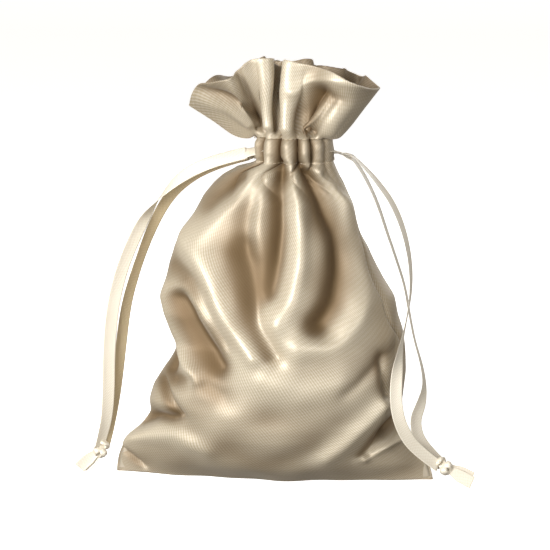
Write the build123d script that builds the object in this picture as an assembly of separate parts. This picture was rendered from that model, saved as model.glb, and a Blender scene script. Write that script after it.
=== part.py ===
from build123d import *
import math
import os

# A satin drawstring gift sack, standing full on its base with its neck drawn shut.
# Frame: origin at the middle of the base, on the surface it stands on. +X runs to the
# right of somebody looking at the front, +Y to the back and +Z up. Millimetres.

# ---- driving dimensions -------------------------------------------------------------
WALL = 1.0                  # one layer of the filled sack
LAYER = 0.8                 # one layer of the turned-in header
RIBBON_WIDTH = 6.0
RIBBON_THICKNESS = 0.5
CORD_RADIUS = 1.0           # a free strand, as a round tube
CASING_BOTTOM = 150.0
CASING_TOP = 162.0
EXIT_HEIGHT = (CASING_BOTTOM + CASING_TOP) / 2
NECK_X = 12.0               # the gathered neck leans to the right of the base
NECK_HALF_WIDTH = 18.0
NECK_HALF_DEPTH = 14.0
CHANNEL = 5.0               # room between the casing's outer wall and its facing
SLOT_HALF = 3.0             # half the gap in each side seam that the ribbons leave by
TACK_HEIGHT = 1.0
CASING_SEAM = 0.8           # height of each line where casing and facing are sewn together
SEAM_ALLOWANCE = 6.0
SEAM_HALF = 0.5
STITCH_RADIUS = 0.3
STITCH_PITCH = 6.0
STITCH_PROUD = 0.3
BOTTOM_SEAM_Y = 6.0         # the front panel wraps under the base as far as this
BOTTOM_SEAM_MARGIN = 12.0   # the bottom seam stops this short of each corner
HEADER_CLEARANCE = 0.4      # between the header and the casing as the header nods
ENTRY_RADIUS = 1.6
ENTRY_HALF_LENGTH = 3.6
EXIT_X = {"left": -9.5, "right": 33.5}
KNOT_HALF_LENGTH = 5.0
KNOT_RADIUS = 3.3
TAIL_THICKNESS = 0.5
TAIL_GAP = 0.4

# the filled sack: height, half width, half depth, middle
BODY = [
    (0.0, 76.0, 20.0, 0.0),
    (12.0, 71.0, 30.0, 0.0),
    (35.0, 60.0, 37.0, 1.0),
    (80.0, 55.0, 38.0, 2.5),
    (106.0, 48.0, 33.0, 0.5),
    (129.0, 37.0, 25.0, 1.0),
    (141.0, 29.0, 19.0, 4.0),
    (CASING_BOTTOM, NECK_HALF_WIDTH, NECK_HALF_DEPTH, NECK_X),
]

# the flared header above the casing, in the same terms
HEADER = [
    (CASING_TOP, NECK_HALF_WIDTH, NECK_HALF_DEPTH, NECK_X),
    (172.0, 26.0, 17.0, 10.0),
    (185.0, 39.0, 21.0, 6.0),
    (196.0, 44.0, 24.0, 5.0),
]

# each strand from its slot down to the knot that ties it to the other
STRANDS = {
    "left_front_strand": [
        (-12.4, -2.0, 154.2), (-20.0, -2.4, 152.4), (-29.4, -3.0, 149.6), (-38.6, -3.5, 145.6),
        (-47.0, -4.0, 139.5), (-54.8, -4.5, 130.5), (-61.2, -5.0, 121.1), (-66.5, -6.0, 109.8),
        (-71.0, -7.0, 98.0), (-74.3, -8.0, 84.8), (-76.0, -9.0, 71.6), (-76.8, -9.6, 58.3),
        (-77.1, -9.8, 43.8), (-77.9, -9.7, 30.1), (-80.0, -9.4, 20.6), (-82.2, -9.1, 13.4),
    ],
    "left_back_strand": [
        (-12.4, 2.0, 153.0), (-20.4, 2.0, 150.8), (-29.6, 2.0, 147.5), (-38.4, 1.6, 143.0),
        (-46.4, 1.2, 136.4), (-52.3, 0.8, 128.3), (-57.3, 0.4, 118.4), (-61.6, -0.2, 107.5),
        (-65.7, -1.0, 95.6), (-69.2, -2.0, 83.3), (-71.1, -3.0, 70.9), (-72.4, -4.0, 58.6),
        (-73.5, -4.8, 45.7), (-75.0, -5.6, 33.1), (-77.4, -6.3, 22.5), (-80.0, -6.9, 14.0),
    ],
    "right_front_strand": [
        (36.4, -2.0, 153.9), (42.2, -3.0, 148.8), (48.6, -4.0, 141.6), (55.6, -5.5, 132.4),
        (60.9, -7.5, 120.2), (64.1, -10.0, 106.8), (64.9, -13.0, 93.8), (63.3, -16.5, 81.4),
        (60.8, -20.5, 69.1), (59.1, -23.5, 56.6), (58.7, -25.5, 45.4), (60.1, -25.7, 35.5),
        (64.0, -23.6, 26.0), (70.4, -20.2, 18.2), (78.6, -17.0, 11.4),
    ],
    "right_back_strand": [
        (36.2, 2.0, 152.4), (40.6, 1.6, 146.6), (44.8, 0.8, 138.9), (48.8, 0.0, 130.0),
        (52.8, -1.0, 118.1), (57.3, -2.0, 105.7), (61.5, -3.0, 93.3), (63.7, -4.0, 80.7),
        (66.4, -5.5, 67.8), (69.8, -7.0, 57.3), (71.5, -8.0, 47.6), (70.0, -9.5, 39.0),
        (67.2, -11.0, 31.8), (68.4, -12.5, 24.2), (73.4, -13.4, 17.8), (80.2, -13.9, 12.6),
    ],
}

# each knot: its middle, the way the ribbon runs through it, and where its tails come down
KNOTS = {
    "left": {"middle": (-81.3, -8.0, 12.8), "along": (-0.35, -0.2, -0.9), "tip": (-91.0, -10.5, 3.4)},
    "right": {"middle": (80.8, -15.4, 11.2), "along": (0.78, -0.1, -0.62), "tip": (94.6, -15.0, 4.2)},
}


# ---- shared shapes ------------------------------------------------------------------
def skin(sections, inset=0.0, lift=0.0):
    """A solid lofted through ellipses, all drawn in by inset, with the lowest raised by lift."""
    rings = []
    for index, (height, half_width, half_depth, middle) in enumerate(sections):
        level = height + lift if index == 0 else height
        rings.append(Plane(origin=(middle, 0, level)) * Ellipse(half_width - inset, half_depth - inset))
    return loft(rings)


def slab(low, high):
    """A box between two corners."""
    size = [top - bottom for bottom, top in zip(low, high)]
    middle = [(top + bottom) / 2 for bottom, top in zip(low, high)]
    return Pos(*middle) * Box(*size)


def in_front_of(y, bottom=-10.0, top=260.0):
    return slab((-200, -100, bottom), (200, y, top))


def behind(y):
    return slab((-200, y, -10), (200, 100, 260))


def beside_neck(side):
    """Everything on one side of the neck's middle."""
    return slab((-200, -100, -10), (NECK_X, 100, 260)) if side == "left" else slab(
        (NECK_X, -100, -10), (200, 100, 260))


def neck_ring(outer_inset, inner_inset, bottom, top):
    """An upright elliptical ring about the neck, between two insets of the neck's outline."""
    plane = Plane(origin=(NECK_X, 0, bottom))
    outside = plane * Ellipse(NECK_HALF_WIDTH - outer_inset, NECK_HALF_DEPTH - outer_inset)
    inside = plane * Ellipse(NECK_HALF_WIDTH - inner_inset, NECK_HALF_DEPTH - inner_inset)
    return extrude(outside - inside, top - bottom)


# ---- the filled sack ----------------------------------------------------------------
def body_panels():
    """Front and back panels: one shell cut at the side seams, the front running under the base."""
    shell = skin(BODY) - skin(BODY, WALL, WALL)
    front_room = in_front_of(0) + in_front_of(BOTTOM_SEAM_Y, top=WALL)
    return {"front_panel": shell & front_room, "back_panel": shell - front_room}


def seam_allowances():
    """The raw edges of the panels, turned inside along both side seams and the bottom seam."""
    strip = skin(BODY, WALL, WALL) - skin(BODY, WALL + SEAM_ALLOWANCE, WALL)
    low = 2 * WALL + SEAM_ALLOWANCE
    strip &= slab((-200, -SEAM_HALF, low), (200, SEAM_HALF, CASING_BOTTOM - WALL))
    reach = BODY[0][1] - BOTTOM_SEAM_MARGIN
    bottom = slab((-reach, BOTTOM_SEAM_Y - SEAM_HALF, WALL),
                  (reach, BOTTOM_SEAM_Y + SEAM_HALF, WALL + SEAM_ALLOWANCE))
    return {
        "left_seam_allowance": strip & beside_neck("left"),
        "right_seam_allowance": strip & beside_neck("right"),
        "bottom_seam_allowance": bottom,
    }


def stitch(x, y, z):
    """One stitch through both layers of a seam allowance, lying along Y."""
    length = 2 * (SEAM_HALF + STITCH_PROUD)
    return Pos(x, y, z) * Rot(90, 0, 0) * Cylinder(STITCH_RADIUS, length)


def outline_at(height):
    """Half width and middle of the sack at a height, in straight steps between its sections."""
    for lower, upper in zip(BODY, BODY[1:]):
        if lower[0] <= height <= upper[0]:
            share = (height - lower[0]) / (upper[0] - lower[0])
            half_width = lower[1] + share * (upper[1] - lower[1])
            return half_width, lower[3] + share * (upper[3] - lower[3])
    raise ValueError(height)


def side_stitches(side):
    """The stitching down one side seam, half way across the allowance."""
    sign = -1 if side == "left" else 1
    start = 3 * SEAM_ALLOWANCE
    count = int((CASING_BOTTOM - STITCH_PITCH - start) / STITCH_PITCH) + 1
    stitches = []
    for index in range(count):
        height = start + index * STITCH_PITCH
        half_width, middle = outline_at(height)
        x = middle + sign * (half_width - WALL - SEAM_ALLOWANCE / 2)
        stitches.append(stitch(x, 0, height))
    return Compound(children=stitches)


def bottom_stitches():
    """The stitching along the bottom seam."""
    reach = BODY[0][1] - BOTTOM_SEAM_MARGIN - STITCH_PITCH / 2
    count = int(2 * reach / STITCH_PITCH) + 1
    first = -(count - 1) * STITCH_PITCH / 2
    level = WALL + SEAM_ALLOWANCE / 2
    return Compound(children=[stitch(first + index * STITCH_PITCH, BOTTOM_SEAM_Y, level)
                              for index in range(count)])


# ---- the casing at the neck ---------------------------------------------------------
def casing():
    """The drawn-up casing: two outer walls with a slot at each side, and the facing inside."""
    outer = neck_ring(0, WALL, CASING_BOTTOM, CASING_TOP)
    facing = neck_ring(WALL + CHANNEL, 2 * WALL + CHANNEL, CASING_BOTTOM, CASING_TOP)
    return {
        "front_casing": outer & in_front_of(-SLOT_HALF),
        "back_casing": outer & behind(SLOT_HALF),
        "front_casing_facing": facing & in_front_of(0),
        "back_casing_facing": facing & behind(0),
    }


def casing_seams():
    """The two lines of sewing that close the channel below and above the ribbons."""
    channel = (WALL, WALL + CHANNEL)
    return {
        "casing_lower_seam": neck_ring(*channel, CASING_BOTTOM, CASING_BOTTOM + CASING_SEAM),
        "casing_upper_seam": neck_ring(*channel, CASING_TOP - CASING_SEAM, CASING_TOP),
    }


def slot_tacks(side):
    """The bar tacks across the bottom and top of one slot."""
    gap = slab((-200, -SLOT_HALF, -10), (200, SLOT_HALF, 260)) & beside_neck(side)
    tacks = [neck_ring(0, WALL, CASING_BOTTOM, CASING_BOTTOM + TACK_HEIGHT) & gap,
             neck_ring(0, WALL, CASING_TOP - TACK_HEIGHT, CASING_TOP) & gap]
    return Compound(children=[solid for tack in tacks for solid in tack.solids()])


def ribbon_in_casing(side, inset):
    """One ribbon's run round the channel, open at the slot that its ends leave by."""
    half = RIBBON_WIDTH / 2
    ring = neck_ring(inset, inset + RIBBON_THICKNESS, EXIT_HEIGHT - half, EXIT_HEIGHT + half)
    return ring - (slab((-200, -SLOT_HALF, -10), (200, SLOT_HALF, 260)) & beside_neck(side))


# ---- the header above the casing ----------------------------------------------------
def header():
    """The flared ruffle: two layers, cut clear of the circle that the casing's rim needs as it nods."""
    rim = math.hypot(NECK_HALF_DEPTH, CASING_TOP - EXIT_HEIGHT) + HEADER_CLEARANCE
    swept = Pos(NECK_X, 0, EXIT_HEIGHT) * Rot(0, 90, 0) * Cylinder(rim, 8 * NECK_HALF_WIDTH)
    between = skin(HEADER, LAYER)
    outer = skin(HEADER) - between - swept
    facing = between - skin(HEADER, 2 * LAYER) - swept
    return {
        "front_header": outer & in_front_of(0),
        "back_header": outer & behind(0),
        "front_header_facing": facing & in_front_of(0),
        "back_header_facing": facing & behind(0),
    }


# ---- the drawstrings ----------------------------------------------------------------
def ribbon_entry(side):
    """Where one drawstring's two strands come out of the slot together."""
    return Pos(EXIT_X[side], 0, EXIT_HEIGHT) * Rot(90, 0, 0) * Cylinder(ENTRY_RADIUS, 2 * ENTRY_HALF_LENGTH)


def bend_radii(points):
    """For each corner, 0.45 of its shorter run over the tangent of half its turn."""
    radii = []
    for before, here, after in zip(points, points[1:], points[2:]):
        run_in = Vector(*here) - Vector(*before)
        run_out = Vector(*after) - Vector(*here)
        half_turn = math.radians(run_in.get_angle(run_out)) / 2
        radii.append(0.45 * min(run_in.length, run_out.length) / math.tan(half_turn))
    return radii


def strand(name):
    """One free ribbon end: a tube on straight runs joined by tangent arcs."""
    points = STRANDS[name]
    radii = bend_radii(points)
    path = FilletPolyline(*points, radius=radii)
    tube = sweep(Plane(origin=path @ 0, z_dir=path % 0) * Circle(CORD_RADIUS), path=path)
    share = tube.volume / (math.pi * CORD_RADIUS ** 2 * path.length)
    print(f"{name}: length {path.length:.1f}, volume over section x length {share:.4f}, "
          f"smallest radius {min(radii):.1f}, radii {[round(radius, 1) for radius in radii]}")
    return tube


def knot(side):
    """The overhand knot that ties one drawstring's two strands: a long round bead."""
    arc = EllipticalCenterArc((0, 0), KNOT_HALF_LENGTH, KNOT_RADIUS, start_angle=0, arc_size=180)
    bead = revolve(make_face([arc, Line(arc @ 1, arc @ 0)]), Axis.X)
    place = KNOTS[side]
    along = Vector(*place["along"]).normalized()
    return Plane(origin=place["middle"], x_dir=along, z_dir=along.cross(Vector(0, 1, 0))) * bead


def tails(side):
    """The two cut ends below the knot, one lying on the other."""
    place = KNOTS[side]
    middle = Vector(*place["middle"])
    run = Vector(*place["tip"]) - middle
    across = run.cross(Vector(0, 1, 0)).normalized()
    start = middle + run.normalized() * (KNOT_RADIUS / 2)
    length = run.length - KNOT_RADIUS / 2
    strips = []
    for offset in (-(TAIL_THICKNESS + TAIL_GAP) / 2, (TAIL_THICKNESS + TAIL_GAP) / 2):
        plane = Plane(origin=start, x_dir=across, z_dir=run)
        strips.append(plane * Pos(0, offset, length / 2) * Box(RIBBON_WIDTH, TAIL_THICKNESS, length))
    return Compound(children=strips)


# ---- one STEP for each piece --------------------------------------------------------
pieces = {}
pieces.update(body_panels())
pieces.update(seam_allowances())
pieces["bottom_seam_stitches"] = bottom_stitches()
pieces.update(casing())
pieces.update(casing_seams())
pieces.update(header())
pieces["left_ribbon_in_casing"] = ribbon_in_casing("left", WALL)
pieces["right_ribbon_in_casing"] = ribbon_in_casing("right", WALL + CHANNEL - RIBBON_THICKNESS)
for side in ("left", "right"):
    pieces[f"{side}_seam_stitches"] = side_stitches(side)
    pieces[f"{side}_slot_tacks"] = slot_tacks(side)
    pieces[f"{side}_ribbon_entry"] = ribbon_entry(side)
    pieces[f"{side}_knot"] = knot(side)
    pieces[f"{side}_tails"] = tails(side)
for name in STRANDS:
    pieces[name] = strand(name)

os.makedirs("parts", exist_ok=True)
for name, piece in pieces.items():
    export_step(piece, f"parts/{name}.step")
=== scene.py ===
import math

import bpy
import numpy as np
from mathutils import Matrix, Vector


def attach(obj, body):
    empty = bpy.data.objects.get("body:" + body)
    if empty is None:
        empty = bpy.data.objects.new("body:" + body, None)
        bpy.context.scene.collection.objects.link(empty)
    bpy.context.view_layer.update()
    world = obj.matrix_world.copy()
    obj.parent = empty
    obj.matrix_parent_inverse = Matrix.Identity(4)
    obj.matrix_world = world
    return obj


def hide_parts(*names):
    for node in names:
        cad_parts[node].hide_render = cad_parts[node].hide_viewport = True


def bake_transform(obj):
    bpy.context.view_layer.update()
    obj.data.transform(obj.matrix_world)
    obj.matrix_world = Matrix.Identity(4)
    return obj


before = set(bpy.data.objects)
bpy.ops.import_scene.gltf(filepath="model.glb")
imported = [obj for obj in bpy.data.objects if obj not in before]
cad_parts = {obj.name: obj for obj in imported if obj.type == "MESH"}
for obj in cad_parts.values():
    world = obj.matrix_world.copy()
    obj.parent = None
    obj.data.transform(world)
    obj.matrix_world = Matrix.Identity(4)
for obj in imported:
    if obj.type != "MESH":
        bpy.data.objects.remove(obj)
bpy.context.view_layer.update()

MM = 0.001
scene = bpy.context.scene


# ---- The table and the light -------------------------------------------------------
# A white table that curves up into a white backdrop, lit by one big soft lamp at the
# upper left, a narrow one at the right and a soft one overhead, in a pale room.
AZIMUTH = math.radians(6.0)
ELEVATION = math.radians(10.5)
CAMERA_DISTANCE = 1.0
VIEW_WIDTH = 0.2569                                    # what the picture spans at the sack
AIM = Vector((0.0006, 0.0, 0.0967))
toward_camera = Vector((math.sin(AZIMUTH) * math.cos(ELEVATION),
                        -math.cos(AZIMUTH) * math.cos(ELEVATION), math.sin(ELEVATION)))
camera = bpy.data.objects.new("camera", bpy.data.cameras.new("camera"))
scene.collection.objects.link(camera)
camera.location = AIM + toward_camera * CAMERA_DISTANCE
camera.rotation_euler = toward_camera.to_track_quat("Z", "Y").to_euler()
camera.data.sensor_width = 36.0
camera.data.lens = 36.0 * CAMERA_DISTANCE / VIEW_WIDTH
scene.camera = camera
scene.view_settings.view_transform = "Standard"


def grid_faces(rows, columns, round_rows=False, round_columns=False):
    """Four-sided faces of a grid whose points run column by column within each row."""
    row = np.arange(rows if round_rows else rows - 1)[:, None]
    column = np.arange(columns if round_columns else columns - 1)[None, :]
    next_row = (row + 1) % rows
    next_column = (column + 1) % columns
    corners = (row * columns + column, row * columns + next_column,
               next_row * columns + next_column, next_row * columns + column)
    return np.stack(np.broadcast_arrays(*corners), axis=-1).reshape(-1, 4)


def mesh_piece(name, points, faces, uv=None, material=None):
    """A smooth-shaded object from an array of points in metres, with a UV per point if given."""
    mesh = bpy.data.meshes.new(name)
    mesh.from_pydata(np.asarray(points, float).reshape(-1, 3).tolist(), [], [list(f) for f in faces])
    if uv is not None:
        loops = np.empty(len(mesh.loops), np.int32)
        mesh.loops.foreach_get("vertex_index", loops)
        layer = mesh.uv_layers.new(name="UVMap")
        layer.data.foreach_set("uv", np.asarray(uv, np.float32).reshape(-1, 2)[loops].ravel())
    mesh.polygons.foreach_set("use_smooth", np.ones(len(mesh.polygons), bool))
    mesh.update()
    if material is not None:
        mesh.materials.append(material)
    piece = bpy.data.objects.new(name, mesh)
    scene.collection.objects.link(piece)
    return piece


def backdrop_shape(rows=48, columns=3):
    """Flat to the front, then a quarter turn up into a wall: a profile carried along X."""
    reach, radius, height, half_width = 3.0, 1.2, 3.0, 4.0
    turn = np.linspace(0, math.pi / 2, rows - 2)
    y = np.concatenate([[-9.0], reach + radius * np.sin(turn), [reach + radius]])
    z = np.concatenate([[0.0], radius * (1 - np.cos(turn)), [height]])
    x = np.linspace(-half_width, half_width, columns)
    return np.stack(np.broadcast_arrays(x[None, :], y[:, None], z[:, None]), axis=-1)


backdrop = mesh_piece("backdrop", backdrop_shape(), grid_faces(48, 3))
paper = bpy.data.materials.new("white_paper")
paper.use_nodes = True
paper_shader = paper.node_tree.nodes["Principled BSDF"]
paper_shader.inputs["Base Color"].default_value = (0.93, 0.93, 0.93, 1)
paper_shader.inputs["Roughness"].default_value = 0.9
paper_shader.inputs["Specular IOR Level"].default_value = 0.1
paper_shader.inputs["Emission Color"].default_value = (1.0, 0.995, 0.985, 1)
paper_shader.inputs["Emission Strength"].default_value = 0.80
backdrop.data.materials.append(paper)
backdrop.visible_diffuse = False
backdrop.visible_glossy = False


def lamp(name, place, size, power, aim=(0.0, 0.0, 0.1)):
    """A rectangular soft lamp that faces a point."""
    light = bpy.data.lights.new(name, "AREA")
    light.shape = "RECTANGLE"
    light.size, light.size_y = size
    light.energy = power
    holder = bpy.data.objects.new(name, light)
    scene.collection.objects.link(holder)
    holder.location = place
    holder.rotation_euler = (Vector(place) - Vector(aim)).to_track_quat("Z", "Y").to_euler()


lamp("window_lamp", (-0.52, -0.95, 0.40), (0.60, 0.60), 18.5)
lamp("strip_lamp", (0.62, -0.80, 0.30), (0.20, 0.55), 2.6)
lamp("top_lamp", (-0.20, 0.10, 0.95), (0.4, 0.4), 2.2)
lamp("back_lamp", (0.45, 0.95, 0.45), (0.6, 0.6), 2.8)


# ---- Shader sums -------------------------------------------------------------------
# Every finish below is worked out from positions on the piece, in plain sums.
class Wire:
    """A node socket that can be added, multiplied and so on; each sum becomes a Math node."""

    def __init__(self, tree, socket):
        self.tree = tree
        self.socket = socket

    def node(self, kind, settings=None, **inputs):
        """Any other node: its settings first, then values or wires for its sockets by name or index."""
        made = self.tree.nodes.new(kind)
        for key, value in (settings or {}).items():
            setattr(made, key, value)
        for key, value in inputs.items():
            numbered = key[0] == "i" and key[1:].isdigit()
            slot = made.inputs[int(key[1:]) if numbered else key.replace("_", " ")]
            if isinstance(value, Wire):
                self.tree.links.new(value.socket, slot)
            else:
                slot.default_value = value
        return made

    def math(self, operation, other=0.0, swap=False):
        made = self.tree.nodes.new("ShaderNodeMath")
        made.operation = operation
        for slot, value in zip(made.inputs, (other, self) if swap else (self, other)):
            if isinstance(value, Wire):
                self.tree.links.new(value.socket, slot)
            else:
                slot.default_value = value
        return Wire(self.tree, made.outputs[0])

    def __add__(self, other):
        return self.math("ADD", other)

    def __radd__(self, other):
        return self.math("ADD", other)

    def __sub__(self, other):
        return self.math("SUBTRACT", other)

    def __rsub__(self, other):
        return self.math("SUBTRACT", other, swap=True)

    def __mul__(self, other):
        return self.math("MULTIPLY", other)

    def __rmul__(self, other):
        return self.math("MULTIPLY", other)

    def __pow__(self, other):
        return self.math("POWER", other)

    def __rpow__(self, other):
        return self.math("POWER", other, swap=True)


# The room: brightest level with the eye and dim and brown overhead and underfoot, so that the
# cloth goes dark where it leans back or turns under.
room = bpy.data.worlds.new("studio_room")
scene.world = room
room.use_nodes = True
sky = Wire(room.node_tree, None)
direction = Wire(room.node_tree, sky.node("ShaderNodeTexCoord").outputs["Generated"])
upward = Wire(room.node_tree, sky.node("ShaderNodeSeparateXYZ", i0=direction).outputs[2])
wash = sky.node("ShaderNodeMix", {"data_type": "RGBA"})
room.node_tree.links.new((2.0 ** ((upward - 0.05) ** 2.0 * -5.5)).socket, wash.inputs[0])
wash.inputs[6].default_value = (0.20, 0.155, 0.105, 1)
wash.inputs[7].default_value = (0.98, 0.97, 0.95, 1)
room.node_tree.links.new(wash.outputs[2], room.node_tree.nodes["Background"].inputs["Color"])
room.node_tree.nodes["Background"].inputs["Strength"].default_value = 0.52


def satin(name, face, shade, glint, weave_pitch, weave_depth, roughness, fold=None):
    """Satin: a fine diagonal rib in the bump and in the colour, with slow patches of tone.

    The rib is a sine along a slanting direction, broken up by noise along its length, as the
    long floats of a satin weave are. It lies on the piece's own UV, in metres. face and shade are its
    mid and dark tones. glint is a painted glint: a near-white colour laid on the tops of the ribs in
    place of their sheen. fold is painted shade: the colour at the bottom of each fold, where the
    piece's own "fold" attribute is 0 and its crests are 1, darkening the folds as if shaded."""
    material = bpy.data.materials.new(name)
    material.use_nodes = True
    tree = material.node_tree
    shader = tree.nodes["Principled BSDF"]
    start = Wire(tree, None)
    where = Wire(tree, start.node("ShaderNodeTexCoord").outputs["UV"])
    split = start.node("ShaderNodeSeparateXYZ", i0=where)
    across, along = (Wire(tree, split.outputs[k]) for k in range(2))
    wobble = Wire(tree, start.node("ShaderNodeTexNoise", {"noise_dimensions": "3D"}, Vector=where,
                                   Scale=1 / (9 * MM), Detail=2.0).outputs["Fac"])
    fibre = Wire(tree, start.node("ShaderNodeTexNoise", {"noise_dimensions": "3D"}, Vector=where,
                                  Scale=1 / (0.55 * MM), Detail=2.0).outputs["Fac"])
    turns = 2 * math.pi / weave_pitch
    rib = ((across * 0.82 + along * 0.57) * turns + wobble * 2.0).math("SINE") * 0.5 + 0.5
    pick = ((across * -0.34 + along * 0.94) * (turns * 0.55)).math("SINE") * 0.5 + 0.5
    weave = rib * 0.52 + pick * 0.12 + fibre * 0.60
    patches = Wire(tree, start.node("ShaderNodeTexNoise", {"noise_dimensions": "3D"}, Vector=where,
                                    Scale=1 / (26 * MM), Detail=3.0).outputs["Fac"])
    tone = (weave * 0.70 + patches * 0.55 - 0.14).math("MINIMUM", 1.0).math("MAXIMUM", 0.0)
    darker = start.node("ShaderNodeMix", {"data_type": "RGBA"})
    tree.links.new(tone.socket, darker.inputs[0])
    darker.inputs[6].default_value = (*shade, 1)
    darker.inputs[7].default_value = (*face, 1)
    # painted glint: the colour is mixed towards the near-white glint on the tops of the weave's ribs, in
    # place of their sheen
    rib_glint = start.node("ShaderNodeMix", {"data_type": "RGBA"})
    tree.links.new((weave ** 3.0 * 0.35).socket, rib_glint.inputs[0])
    tree.links.new(darker.outputs[2], rib_glint.inputs[6])
    rib_glint.inputs[7].default_value = (*glint, 1)
    if fold is None:
        tree.links.new(rib_glint.outputs[2], shader.inputs["Base Color"])
    else:
        # painted shade: where the fold attribute is low, the base colour goes to the fold colour, darkening
        # the folds as if shaded
        crest = Wire(tree, start.node("ShaderNodeAttribute", {"attribute_name": "fold"}).outputs["Fac"])
        deep = start.node("ShaderNodeMix", {"data_type": "RGBA"})
        tree.links.new(crest.socket, deep.inputs[0])
        deep.inputs[6].default_value = (*fold, 1)
        tree.links.new(rib_glint.outputs[2], deep.inputs[7])
        tree.links.new(deep.outputs[2], shader.inputs["Base Color"])
        tree.links.new((0.45 - crest * 0.25).socket, shader.inputs["Metallic"])
    rough = roughness + (patches - 0.5) * 0.10 + (1.0 - weave) * 0.08
    if fold is not None:
        rough = rough + (1.0 - crest) * 0.16
    tree.links.new(rough.socket, shader.inputs["Roughness"])
    bump = start.node("ShaderNodeBump", Height=weave, Strength=0.5, Distance=weave_depth)
    tree.links.new(bump.outputs["Normal"], shader.inputs["Normal"])
    shader.inputs["Metallic"].default_value = 0.08
    shader.inputs["Specular IOR Level"].default_value = 0.7
    shader.inputs["Sheen Weight"].default_value = 0.15
    shader.inputs["Sheen Roughness"].default_value = 0.4
    shader.inputs["Sheen Tint"].default_value = (1.0, 0.95, 0.85, 1)
    return material


# painted glint: the third colour of each ribbon satin is the near-white glint laid on its rib tops
ribbon_satin = satin("ribbon_satin", (0.80, 0.74, 0.62), (0.60, 0.52, 0.38), (0.97, 0.95, 0.90),
                     0.7 * MM, 0.04 * MM, 0.42)
# the dull reverse side of the ribbon satin, made darker partly as painted shade for the strand that hangs
# behind
shaded_ribbon_reverse = satin("shaded_ribbon_reverse", (0.60, 0.48, 0.29), (0.42, 0.32, 0.17), (0.85, 0.77, 0.60),
                       0.7 * MM, 0.04 * MM, 0.50)


# ---- The four ribbon strands -------------------------------------------------------
# Each drawstring is one length of 6 mm single-face satin ribbon whose two ends leave the
# casing through one slot. The ends fall in loose curves to a knot near the table, turning
# over on the way. The ribbon is woven, with a firm raised edge along each side.
RIBBON_WIDTH = 6.0 * MM
STRAND_ROUTES = {
    "left_front_strand": [
        (-12.4, -2.0, 154.2), (-20.0, -2.4, 152.4), (-29.4, -3.0, 149.6), (-38.6, -3.5, 145.6),
        (-47.0, -4.0, 139.5), (-54.8, -4.5, 130.5), (-61.2, -5.0, 121.1), (-66.5, -6.0, 109.8),
        (-71.0, -7.0, 98.0), (-74.3, -8.0, 84.8), (-76.0, -9.0, 71.6), (-76.8, -9.6, 58.3),
        (-77.1, -9.8, 43.8), (-77.9, -9.7, 30.1), (-80.0, -9.4, 20.6), (-82.2, -9.1, 13.4),
    ],
    "left_back_strand": [
        (-12.4, 2.0, 153.0), (-20.4, 2.0, 150.8), (-29.6, 2.0, 147.5), (-38.4, 1.6, 143.0),
        (-46.4, 1.2, 136.4), (-52.3, 0.8, 128.3), (-57.3, 0.4, 118.4), (-61.6, -0.2, 107.5),
        (-65.7, -1.0, 95.6), (-69.2, -2.0, 83.3), (-71.1, -3.0, 70.9), (-72.4, -4.0, 58.6),
        (-73.5, -4.8, 45.7), (-75.0, -5.6, 33.1), (-77.4, -6.3, 22.5), (-80.0, -6.9, 14.0),
    ],
    "right_front_strand": [
        (36.4, -2.0, 153.9), (42.2, -3.0, 148.8), (48.6, -4.0, 141.6), (55.6, -5.5, 132.4),
        (60.9, -7.5, 120.2), (64.1, -10.0, 106.8), (64.9, -13.0, 93.8), (63.3, -16.5, 81.4),
        (60.8, -20.5, 69.1), (59.1, -23.5, 56.6), (58.7, -25.5, 45.4), (60.1, -25.7, 35.5),
        (64.0, -23.6, 26.0), (70.4, -20.2, 18.2), (78.6, -17.0, 11.4),
    ],
    "right_back_strand": [
        (36.2, 2.0, 152.4), (40.6, 1.6, 146.6), (44.8, 0.8, 138.9), (48.8, 0.0, 130.0),
        (52.8, -1.0, 118.1), (57.3, -2.0, 105.7), (61.5, -3.0, 93.3), (63.7, -4.0, 80.7),
        (66.4, -5.5, 67.8), (69.8, -7.0, 57.3), (71.5, -8.0, 47.6), (70.0, -9.5, 39.0),
        (67.2, -11.0, 31.8), (68.4, -12.5, 24.2), (73.4, -13.4, 17.8), (80.2, -13.9, 12.6),
    ],
}
# how far along each strand, and how many degrees its flat face is turned away from the front
STRAND_TURNS = {
    "left_front_strand": [(0.0, 158), (0.16, 165), (0.27, 100), (0.36, 28), (0.6, 18), (0.85, 20), (1.0, 50)],
    "left_back_strand": [(0.0, 20), (0.2, 28), (0.45, 52), (0.7, 35), (0.9, 60), (1.0, 40)],
    "right_front_strand": [(0.0, 78), (0.12, 62), (0.22, 60), (0.42, 74), (0.52, 84), (0.60, 70),
                           (0.68, 20), (0.88, 16), (1.0, 30)],
    "right_back_strand": [(0.0, 70), (0.3, 75), (0.62, 78), (0.74, 70), (0.80, 28), (0.9, 24), (1.0, 62)],
}


def spline_line(points):
    """Evenly spaced points along the smooth NURBS line that a route's points control."""
    curve = bpy.data.curves.new("route", "CURVE")
    curve.dimensions = "3D"
    curve.resolution_u = 24
    spline = curve.splines.new("NURBS")
    spline.points.add(len(points) - 1)
    spline.points.foreach_set("co", np.hstack([points, np.ones((len(points), 1))]).ravel())
    spline.order_u = 3
    spline.use_endpoint_u = True
    holder = bpy.data.objects.new("route", curve)
    line = bpy.data.meshes.new_from_object(holder)
    found = np.empty(len(line.vertices) * 3)
    line.vertices.foreach_get("co", found)
    found = found.reshape(-1, 3)
    bpy.data.objects.remove(holder)
    bpy.data.curves.remove(curve)
    bpy.data.meshes.remove(line)
    travelled = np.concatenate([[0], np.cumsum(np.linalg.norm(np.diff(found, axis=0), axis=1))])
    even = np.linspace(0, travelled[-1], 181)
    return np.stack([np.interp(even, travelled, found[:, k]) for k in range(3)], axis=1), travelled[-1]


def unit(vectors):
    return vectors / np.linalg.norm(vectors, axis=-1, keepdims=True)


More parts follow.
